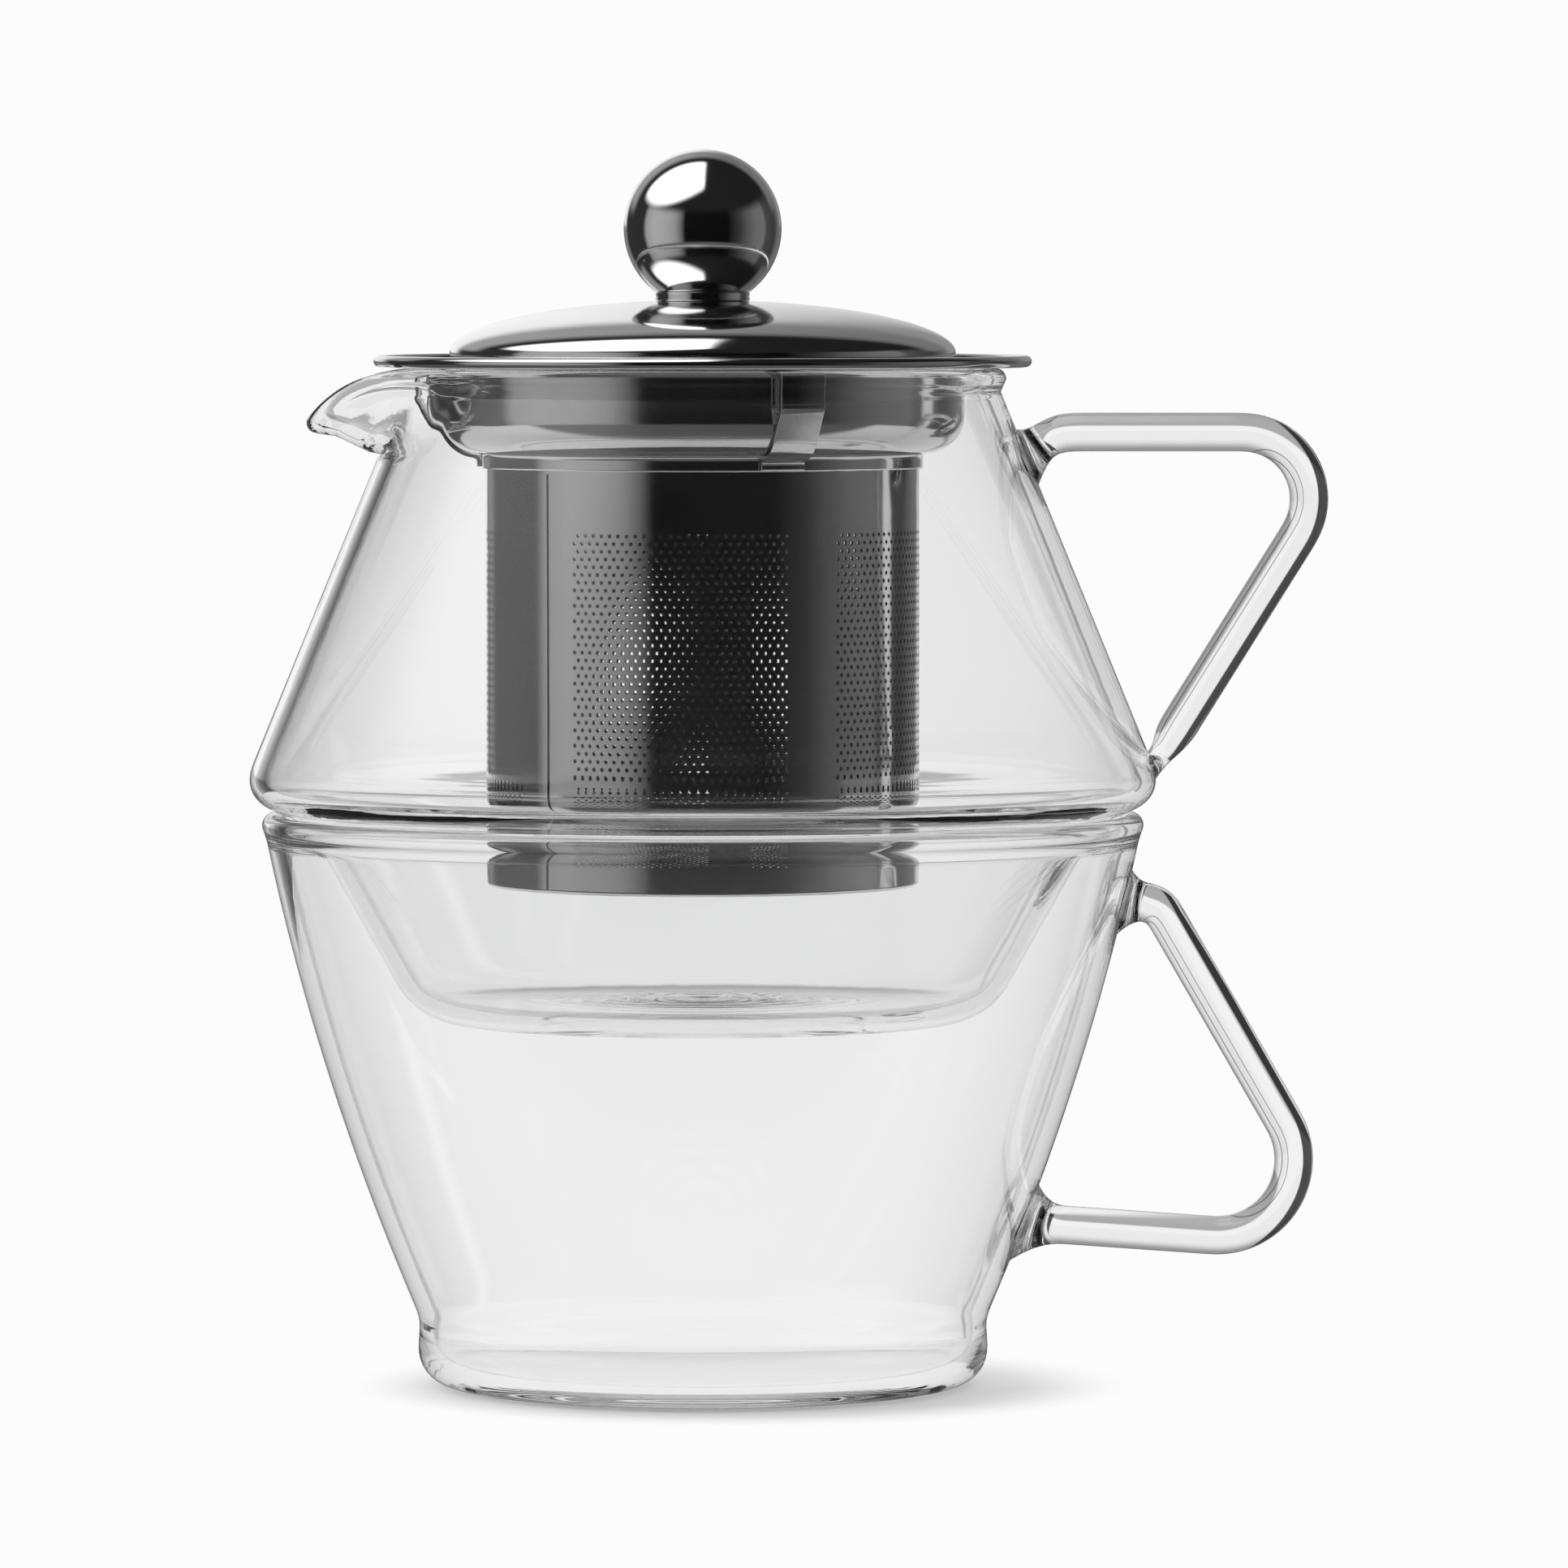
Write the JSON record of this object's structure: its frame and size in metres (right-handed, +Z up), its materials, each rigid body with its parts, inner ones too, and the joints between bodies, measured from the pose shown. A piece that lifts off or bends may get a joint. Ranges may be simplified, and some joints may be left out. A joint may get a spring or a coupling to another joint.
{
  "type": "tea-for-one teapot",
  "caption": "Glass teapot with a steel strainer and a ball-knobbed steel lid, nested in the mouth of its own glass cup.",
  "frame": {"origin": "centre of the cup's foot, on the surface it stands on", "axes": "+Z up along the common axis of cup, pot, strainer and lid; the spout points to -X and the handles to +X"},
  "size_m": [0.1396, 0.1174, 0.1598],
  "materials": {
    "clear_glass": "clear",
    "polished_steel": "polished",
    "satin_steel": "satin"
  },
  "bodies": {
    "cup": {"cup_body": "clear_glass", "cup_handle": "clear_glass"},
    "pot": {"pot_body": "clear_glass", "pot_handle": "clear_glass"},
    "infuser": {"infuser_collar": "polished_steel", "infuser_tube": "satin_steel", "infuser_base": "polished_steel"},
    "spring_1": {"centring_spring_1": "polished_steel"},
    "spring_2": {"centring_spring_2": "polished_steel"},
    "spring_3": {"centring_spring_3": "polished_steel"},
    "lid": {"lid_shell": "polished_steel", "knob_neck": "polished_steel", "knob_ball": "polished_steel", "knob_screw": "satin_steel", "knob_washer": "satin_steel"}
  },
  "joints": [
    {"name": "pot_lift", "type": "slide", "parent": "cup", "child": "pot", "axis": [0, 0, 1], "range_m": [0, 0.1]},
    {"name": "infuser_lift", "type": "slide", "parent": "pot", "child": "infuser", "axis": [0, 0, 1], "range_m": [0, 0.08]},
    {"name": "lid_lift", "type": "slide", "parent": "infuser", "child": "lid", "axis": [0, 0, 1], "range_m": [0, 0.06]},
    {"name": "spring_flex_1", "type": "hinge", "parent": "infuser", "child": "spring_1", "pos_m": [0.01172, -0.03117, 0.1226], "axis": [-0.9361, -0.3518, 0], "range_deg": [0, 8], "stiffness_Nm_per_rad": 0.2},
    {"name": "spring_flex_2", "type": "hinge", "parent": "infuser", "child": "spring_2", "pos_m": [-0.03285, 0.00544, 0.1226], "axis": [0.1633, 0.9866, 0], "range_deg": [0, 8], "stiffness_Nm_per_rad": 0.2},
    {"name": "spring_flex_3", "type": "hinge", "parent": "infuser", "child": "spring_3", "pos_m": [0.02114, 0.02573, 0.1226], "axis": [0.7727, -0.6347, 0], "range_deg": [0, 8], "stiffness_Nm_per_rad": 0.2}
  ]
}
